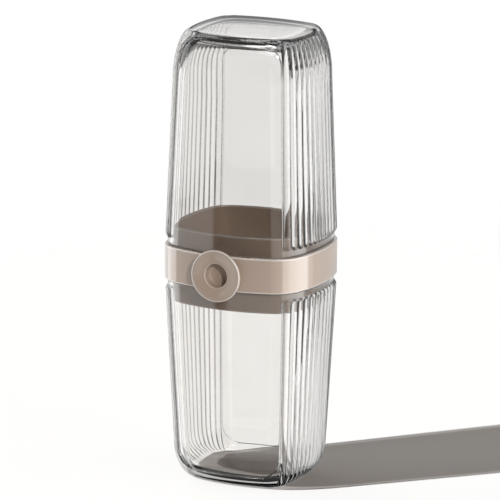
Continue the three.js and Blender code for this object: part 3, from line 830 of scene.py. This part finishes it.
def bandMesh():
    size = ringSize
    bottom, top, edge = size["bottom"], size["top"], size["edgeRound"]
    low, high = bottom + edge + size["guard"], top - edge - size["guard"]
    section = [(0, z) for z in np.linspace(low, high, size["skinRows"])]
    section += roundedCorner(0, top, 1, -1, edge)[::-1]
    section += [
        (wallInset, top),
        (wallInset, top - size["lip"]),
        (size["skin"], top - size["lip"]),
        (size["skin"], bottom + size["lip"]),
        (wallInset, bottom + size["lip"]),
        (wallInset, bottom),
    ]
    section += roundedCorner(0, bottom, 1, 1, edge)
    mesh = meshFrom("band", [ringRow(bandArcs, inset, z) for inset, z in section], ring=True)
    half = size["tongueWidth"] / 2 + size["slideGap"]
    lipGap = size["lip"] + size["slideGap"]
    for y0, y1, z0, z1 in (
        (-far, 0, top - lipGap, top + over),
        (-far, 0, bottom - over, bottom + lipGap),
        (0, far, bottom - over, bottom + lipGap),
    ):
        for x in catchPlaces:
            slot = boxMesh(x - half, x + half, y0, y1, z0, z1)
            slot = common(slot, columnMesh(size["skin"], z0 - over, z1 + over))
            mesh = cut(mesh, slot)
    return cut(mesh, bossHole(0))


# Hole for the button's boss, from in front of the case back to y

def bossHole(y):
    radius = buttonSize["bossRadius"] + ringSize["slideGap"]
    return rodMesh(radius, 0, buttonSize["height"], -far, y, ringSize["holeSides"])


def collarArcs(z):
    if z > lidShape["rim"]:
        return hollowArcs(lidShape, z - lidShape["rim"])
    if z < cupShape["rim"]:
        return hollowArcs(cupShape, cupShape["rim"] - z)
    return bandArcs


def collarMesh():
    size = ringSize
    outer = size["collarInset"]
    inner = outer + size["collarWall"]
    bottom, top, edge = size["collarBottom"], size["collarTop"], size["collarRound"]
    low, high = bottom + edge + size["guard"], top - edge - size["guard"]
    section = roundedCorner(outer, bottom, 1, 1, edge)
    section += [(outer, z) for z in (low, cupShape["rim"], lidShape["rim"], high)]
    section += roundedCorner(outer, top, 1, -1, edge)[::-1]
    section += roundedCorner(inner, top, -1, -1, edge)
    section += [(inner, z) for z in (high, lidShape["rim"], cupShape["rim"], low)]
    section += roundedCorner(inner, bottom, -1, 1, edge)[::-1]
    rows = [ringRow(collarArcs(z), inset, z) for inset, z in section]
    return meshFrom("collar", rows, ring=True)


housingSize = {
    "earSides": 48,
    "pilotSides": 32,
    "halfWidth": 0.0142,
    "halfHeight": 0.0074,
    "wall": 0.0012,
    "back": -0.02058,
    "earOffset": 0.0176,
    "earBoss": 0.0025,
    "pilotEnd": -0.02498,
    "slotBack": -0.02708,
}


def housingMesh():
    size = housingSize
    outerX = size["halfWidth"] + size["wall"]
    outerZ = size["halfHeight"] + size["wall"]
    z0, z1 = ringMiddle - outerZ, ringMiddle + outerZ
    outer = ringSize["collarInset"]
    walls = boxMesh(-outerX, outerX, -far, size["back"], z0, z1)
    ears = (-size["earOffset"], size["earOffset"])
    for x in ears:
        boss = rodMesh(size["earBoss"], x, ringMiddle, -far, size["back"], size["earSides"])
        walls = join(walls, boss)
    walls = common(walls, columnMesh(outer + ringSize["collarWall"] / 2, z0 - over, z1 + over))
    half, end = size["halfWidth"], size["back"] + over
    low, high = ringMiddle - size["halfHeight"], ringMiddle + size["halfHeight"]
    room = boxMesh(-half, half, -far, end, low, high)
    room = common(room, columnMesh(outer + ringSize["collarWall"], z0 - over, z1 + over))
    walls = cut(walls, room)
    radius = buttonSize["pilotRadius"]
    for x in ears:
        pilot = rodMesh(radius, x, ringMiddle, size["pilotEnd"], end, size["pilotSides"])
        walls = cut(walls, pilot)
    return walls


def catchesJoined(mesh):
    size = ringSize
    z = cupShape["rim"] + size["catchDepth"]
    z0, z1 = z - size["catchHeight"] / 2, z + size["catchHeight"] / 2
    outer = size["collarInset"]
    shell = columnMesh(outer - size["catchReach"], z0, z1)
    shell = cut(shell, columnMesh(outer + size["collarWall"] / 2, z0 - over, z1 + over))
    half = size["catchWidth"] / 2
    for y0, y1 in ((-far, 0), (0, far)):
        for x in catchPlaces:
            mesh = join(mesh, common(shell.copy(), boxMesh(x - half, x + half, y0, y1, z0, z1)))
    return mesh


def collarWithHousing():
    size = ringSize
    mesh = join(collarMesh(), housingMesh())
    half = size["catchWidth"] / 2 + size["slideGap"]
    rise = size["catchHeight"] / 2 + size["slideGap"]
    z = lidShape["rim"] - size["catchDepth"]
    back = housingSize["slotBack"]
    for x in catchPlaces:
        mesh = cut(mesh, boxMesh(x - half, x + half, -far, back, z - rise, z + rise))
    return catchesJoined(cut(mesh, bossHole(back)))


def markEdgeHighlights(mesh, lipRadius):
    # Marks rounded edges for the painted highlight, with less of it inside lipRadius
    worked = bmesh.new()
    worked.from_mesh(mesh)
    worked.verts.ensure_lookup_table()
    highlightAmounts = np.zeros(len(worked.verts))
    least = paintedHighlightTurn["least"]
    for edge in worked.edges:
        turn = edge.calc_face_angle_signed(0)
        if least < turn < paintedHighlightTurn["most"]:
            highlightAmount = min(1, (turn - least) / (paintedHighlightTurn["full"] - least))
            for vertex in edge.verts:
                highlightAmounts[vertex.index] = max(highlightAmounts[vertex.index], highlightAmount)
    for vertex in worked.verts:
        if math.hypot(vertex.co.x, vertex.co.z - buttonSize["height"]) < lipRadius:
            highlightAmounts[vertex.index] *= paintedHighlightTurn["lipHighlightShare"]
    worked.free()
    mark = mesh.attributes.new(paintedHighlightTurn["mark"], "FLOAT", "POINT")
    mark.data.foreach_set("value", highlightAmounts)


# A profile of (radius, y) points turned about a line along Y

def turnedMesh(name, profile, x, z, sides):
    rows = [circleRow(-fullTurn(sides), radius, x, y, z) for radius, y in profile]
    return meshFrom(name, rows)


def arcPoints(centre, radius, start, end, steps):
    turns = np.radians(np.linspace(start, end, steps))
    return [(centre[0] + radius * math.cos(t), centre[1] + radius * math.sin(t)) for t in turns]


def capMesh():
    size = buttonSize
    front, radius, rim, lip = size["front"], size["radius"], size["rimRound"], size["recessLip"]
    recess, corner, guard = size["recessRadius"], size["recessFloorRound"], size["guard"]
    face = front + size["dish"]
    floorY = face + size["recessDepth"]
    back = front + size["rimThickness"]
    profile = [(size["floorCentre"], floorY), (recess - corner - guard, floorY)]
    profile += arcPoints((recess - corner, floorY - corner), corner, 90, 0, steps=9)
    profile += [(recess, floorY - corner - guard), (recess, face + lip + guard)]
    profile += arcPoints((recess + lip, face + lip), lip, 180, 270, steps=10)
    dished = np.linspace(recess + lip, radius - 2 * rim, size["dishRows"])[1:]
    shares = smoothStep((dished - dished[0]) / (dished[-1] - dished[0]))
    profile += [(r, face - size["dish"] * share) for r, share in zip(dished, shares)]
    profile += arcPoints((radius - rim, front + rim), rim, 270, 360, steps=8)
    profile += arcPoints((radius - rim / 2, back - rim / 2), rim / 2, 0, 90, steps=5)
    profile += [
        (size["bossRadius"], back),
        (size["bossRadius"], floorY + size["recessFloor"]),
        (size["stemRadius"], floorY + size["recessFloor"]),
        (size["stemRadius"], size["stemEnd"]),
        (size["pilotRadius"], size["stemEnd"]),
        (size["pilotRadius"], size["stemEnd"] - size["pilotDepth"]),
        (size["pilotCentre"], size["stemEnd"] - size["pilotDepth"]),
    ]
    return turnedMesh("cap", profile, 0, size["height"], size["sides"])


def buildRing():
    lipRadius = buttonSize["recessRadius"] + 2 * buttonSize["recessLip"]
    for name, node, body, mesh, sharp, lessHighlightRadius in (
        ("bandSkin", "outer_band", "case", bandMesh(), 35, 0),
        ("collarBody", "collar_ring", "case", collarWithHousing(), 35, 0),
        ("pressButton", "button_cap", "button", capMesh(), 40, lipRadius),
    ):
        # Painted highlight marks on rounded edges, weaker near the recess lip
        markEdgeHighlights(mesh, lessHighlightRadius)
        piece = pieceFrom(name, mesh, beigeMaterial, sharp)
        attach(piece, body)
        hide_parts(node)
        print(name, len(piece.data.vertices), "points")


buildRing()


# Return spring: a round wire wound about the button's axis, built between the ends of the imported
# spring. The real spring shortens as the button goes in; this mesh keeps one length

springSize = {
    "meanRadius": 0.00325,
    "wire": 0.0007,
    "turns": 3,
    "stepsPerTurn": 40,
    "sides": 12,
    "travel": 0.0016,
}


def springMesh(front, back):
    size = springSize
    steps = size["turns"] * size["stepsPerTurn"]
    around = fullTurn(size["sides"])
    half = size["wire"] / 2
    radius = size["meanRadius"] + half * np.cos(around)
    rows = []
    for i in range(steps + 1):
        angle = 2 * math.pi * i / size["stepsPerTurn"]
        y = front + half + i / steps * (back - front - size["wire"]) + half * np.sin(around)
        z = buttonSize["height"] + radius * math.sin(angle)
        rows.append(np.column_stack([radius * math.cos(angle), y, z]))
    return meshFrom("spring", rows, reverse=True)


def buildSpring():
    low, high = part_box("button_spring")
    front, back = low[1], high[1]
    mesh = springMesh(front, back)
    piece = pieceFrom("returnSpring", mesh, steelMaterial, sharpAngle=50)
    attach(piece, "case")
    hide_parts("button_spring")
    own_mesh(piece)
    print("spring", len(piece.data.vertices), "points")


buildSpring()


# Camera at the photograph's angle

cameraView = {
    "azimuth": 25.60,
    "elevation": 13.76,
    "roll": 0.39,
    "distance": 2.5008,
    "aimHeight": 0.10628,
    "sideStep": -0.000618,
    "lens": 395.02,
    "sensor": 36,
    "clipEnd": 50,
}


def towards(azimuth, elevation):
    a = math.radians(azimuth)
    e = math.radians(elevation)
    return Vector((math.sin(a) * math.cos(e), -math.cos(a) * math.cos(e), math.sin(e)))


def buildCamera(settings):
    roll = math.radians(settings["roll"])
    back = towards(settings["azimuth"], settings["elevation"])
    level = Vector((0, 0, 1)).cross(back).normalized()
    upright = back.cross(level)
    right = level * math.cos(roll) + upright * math.sin(roll)
    up = upright * math.cos(roll) - level * math.sin(roll)
    data = bpy.data.cameras.new("camera")
    data.lens = settings["lens"]
    data.sensor_width = settings["sensor"]
    data.clip_end = settings["clipEnd"]
    camera = bpy.data.objects.new("camera", data)
    aim = Vector((0, 0, settings["aimHeight"]))
    place = aim + back * settings["distance"] + right * settings["sideStep"]
    turn = Matrix((right, up, back)).transposed().to_4x4()
    camera.matrix_world = Matrix.Translation(place) @ turn
    scene.collection.objects.link(camera)
    scene.camera = camera


buildCamera(cameraView)


# Light: a studio of soft panels in the world, and two hard lamps from the front. The key lamp
# lights all but the floor, and the floor lamp the floor alone, with the case's long shadow

lampSettings = {
    "keyLamp": {"azimuth": 45, "elevation": 24, "strength": 1.5, "size": 2.2},
    "floorLamp": {"azimuth": -43, "elevation": 27, "strength": 18.2, "size": 1.2},
}


def linkGroup(name, piece, state):
    group = bpy.data.collections.new(name)
    group.objects.link(piece)
    group.collection_objects[0].light_linking.link_state = state
    return group


def buildLamps(floor):
    lit = {
        "floorLamp": linkGroup("floorOnly", floor, "INCLUDE"),
        "keyLamp": linkGroup("noFloor", floor, "EXCLUDE"),
    }
    for name, settings in lampSettings.items():
        data = bpy.data.lights.new(name, "SUN")
        data.energy = settings["strength"]
        data.angle = math.radians(settings["size"])
        lamp = bpy.data.objects.new(name, data)
        direction = towards(settings["azimuth"], settings["elevation"])
        turn = direction.to_track_quat("Z", "Y").to_matrix().to_4x4()
        lamp.matrix_world = Matrix.Translation(direction) @ turn
        scene.collection.objects.link(lamp)
        lamp.light_linking.receiver_collection = lit[name]


# Levels of the studio all round: lit is what lights the case, shine what its gloss shows, through
# what its clear walls show, and inner what they show once a ray has been reflected. Where the
# camera sees the studio itself, it is plain white

studio = {
    "lit": {
        "softness": 3,
        "base": 0.04,
        "ceiling": 0.04,
        "ceilingStart": 60,
        "panels": [
            {"azimuth": 94, "half": 38, "low": -20, "high": 40, "strength": 1.0},
            {"azimuth": 60, "half": 24, "low": -20, "high": 40, "strength": 0.3},
            {"azimuth": -106, "half": 44, "low": -20, "high": 40, "strength": 2.0},
            {"azimuth": 180, "half": 30, "low": -40, "high": 20, "strength": 0.6},
        ],
    },
    "shine": {
        "softness": 3,
        "base": 0.03,
        "ceiling": 0.02,
        "ceilingStart": 60,
        "panels": [
            {"azimuth": 94, "half": 39, "low": -45, "high": 60, "strength": 3.0},
            {"azimuth": 108, "half": 32, "low": -45, "high": 60, "strength": 1.1},
            {"azimuth": 35, "half": 20, "low": -45, "high": 60, "strength": 0.7},
            {"azimuth": -50, "half": 18, "low": -45, "high": 20, "strength": 0.8},
            {"azimuth": -3, "half": 19, "low": -45, "high": -13, "strength": 0.45},
            {"azimuth": 0, "half": 190, "low": 69, "high": 78, "strength": 6.0},
            {"azimuth": -84, "half": 21, "low": -45, "high": 60, "strength": 3.2},
            {"azimuth": -118, "half": 13, "low": -45, "high": 60, "strength": 1.4},
            {"azimuth": 186, "half": 44, "low": -45, "high": -6, "strength": 0.7},
            {"azimuth": 186, "half": 44, "low": 10, "high": 18, "strength": 1.0},
        ],
    },
    "inner": {
        "softness": 3,
        "base": 0.03,
        "ceiling": 0.02,
        "ceilingStart": 60,
        "panels": [
            {"azimuth": 94, "half": 39, "low": -45, "high": 8, "strength": 0.85},
            {"azimuth": 35, "half": 20, "low": -45, "high": 8, "strength": 0.6},
            {"azimuth": -3, "half": 19, "low": -45, "high": -13, "strength": 0.7},
            {"azimuth": -50, "half": 18, "low": -45, "high": 20, "strength": 0.8},
            {"azimuth": -99, "half": 31, "low": -45, "high": 8, "strength": 0.8},
            {"azimuth": 186, "half": 44, "low": -45, "high": 8, "strength": 0.6},
            {"azimuth": 0, "half": 190, "low": 69, "high": 78, "strength": 6.0},
        ],
    },
    "through": {
        "softness": 1.5,
        "base": 0.02,
        "ceiling": 0.01,
        "ceilingStart": 30,
        "panels": [
            {"azimuth": 0, "half": 190, "low": -95, "high": 13, "strength": 0.9},
        ],
    },
}


def panelEdge(gap, soft):
    return (gap / soft + 0.5).clamped()


def studioLevel(azimuth, elevation, settings):
    soft = math.radians(settings["softness"])
    above = ((elevation - math.radians(settings["ceilingStart"])) / soft).clamped()
    level = above * (settings["ceiling"] - settings["base"]) + settings["base"]
    for panel in settings["panels"]:
        turned = (azimuth - math.radians(panel["azimuth"])).maths("WRAP", math.pi, -math.pi)
        wide = panelEdge(math.radians(panel["half"]) - turned.maths("ABSOLUTE"), soft)
        low = panelEdge(elevation - math.radians(panel["low"]), soft)
        high = panelEdge(math.radians(panel["high"]) - elevation, soft)
        level = level + wide * low * high * panel["strength"]
    return level


def buildWorld(settings):
    world = bpy.data.worlds.new("studio")
    scene.world = world
    graph = Graph(world)
    direction = graph.node("ShaderNodeTexCoord", {}, {}, "Generated")
    x = graph.node("ShaderNodeSeparateXYZ", {}, {"Vector": direction}, "X")
    y, z = x.sibling("Y"), x.sibling("Z")
    azimuth = x.maths("ARCTAN2", y * -1.0)
    elevation = z.maths("ARCSINE")
    lit, shine, inner, through = (
        studioLevel(azimuth, elevation, settings[name])
        for name in ("lit", "shine", "inner", "through")
    )
    mirrored = lightPath(graph, "Glossy Depth").clamped()
    led = through + mirrored * (inner - through)
    level = lit + lightPath(graph, "Is Glossy Ray") * (shine - lit)
    level = level + lightPath(graph, "Is Transmission Ray") * (led - level)
    strength = level + lightPath(graph, "Is Camera Ray") * (1.0 - level)
    values = {"Color": (1, 1, 1, 1), "Strength": strength}
    background = graph.node("ShaderNodeBackground", {}, values)
    graph.node("ShaderNodeOutputWorld", {}, {"Surface": background})


# Floor: it fades out towards its edge and is left out for rays that have been reflected. The
# light that it sends on to the case comes from its bounce colour

floorSettings = {
    "colour": (0.34, 0.338, 0.333),
    "bounce": (0.25, 0.25, 0.246),
    "speckScale": 60,
    "speckShade": 0.99,
    "radius": 0.52,
    "fadeStart": 0.36,
    "sides": 96,
}


def paleFloorFinish(settings):
    material = bpy.data.materials.new("paleFloor")
    graph = Graph(material)
    place = objectPlace(graph)
    specks = noise(graph, place, settings["speckScale"], detail=3.0)
    deeper = tuple(c * settings["speckShade"] for c in settings["colour"])
    paper = ramp(graph, specks, (0.0, 1.0), deeper, settings["colour"])
    bright = graph.node("ShaderNodeBsdfDiffuse", {}, {"Color": paper})
    dim = graph.node("ShaderNodeBsdfDiffuse", {}, {"Color": (*settings["bounce"], 1)})
    softRay = lightPath(graph, "Is Diffuse Ray")
    surface = graph.node("ShaderNodeMixShader", {}, {0: softRay, 1: bright, 2: dim})
    nothing = graph.node("ShaderNodeBsdfTransparent", {}, {})
    distance = graph.node("ShaderNodeVectorMath", {"operation": "LENGTH"}, {0: place}, "Value")
    fadeWidth = settings["radius"] - settings["fadeStart"]
    fade = ((distance - settings["fadeStart"]) / fadeWidth).clamped()
    gone = (fade + lightPath(graph, "Glossy Depth")).clamped()
    faded = graph.node("ShaderNodeMixShader", {}, {0: gone, 1: surface, 2: nothing})
    graph.node("ShaderNodeOutputMaterial", {}, {"Surface": faded})
    return material


def buildFloor(settings):
    bpy.ops.mesh.primitive_circle_add(
        vertices=settings["sides"], radius=settings["radius"], fill_type="NGON", location=(0, 0, 0),
    )
    floor = bpy.context.object
    floor.name = "floor"
    floor.data.materials.append(paleFloorFinish(settings))
    return floor


floor = buildFloor(floorSettings)
buildLamps(floor)
buildWorld(studio)
print("camera, lights and floor made")


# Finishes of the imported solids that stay

for name, material in (
    ("latch_slider", whiteMaterial),
    ("housing_cover", whiteMaterial),
    ("slider_screw", steelMaterial),
    ("cover_screw_left", steelMaterial),
    ("cover_screw_right", steelMaterial),
):
    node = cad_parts[name]
    node.data.materials.clear()
    node.data.materials.append(material)

scene.view_settings.view_transform = "Standard"
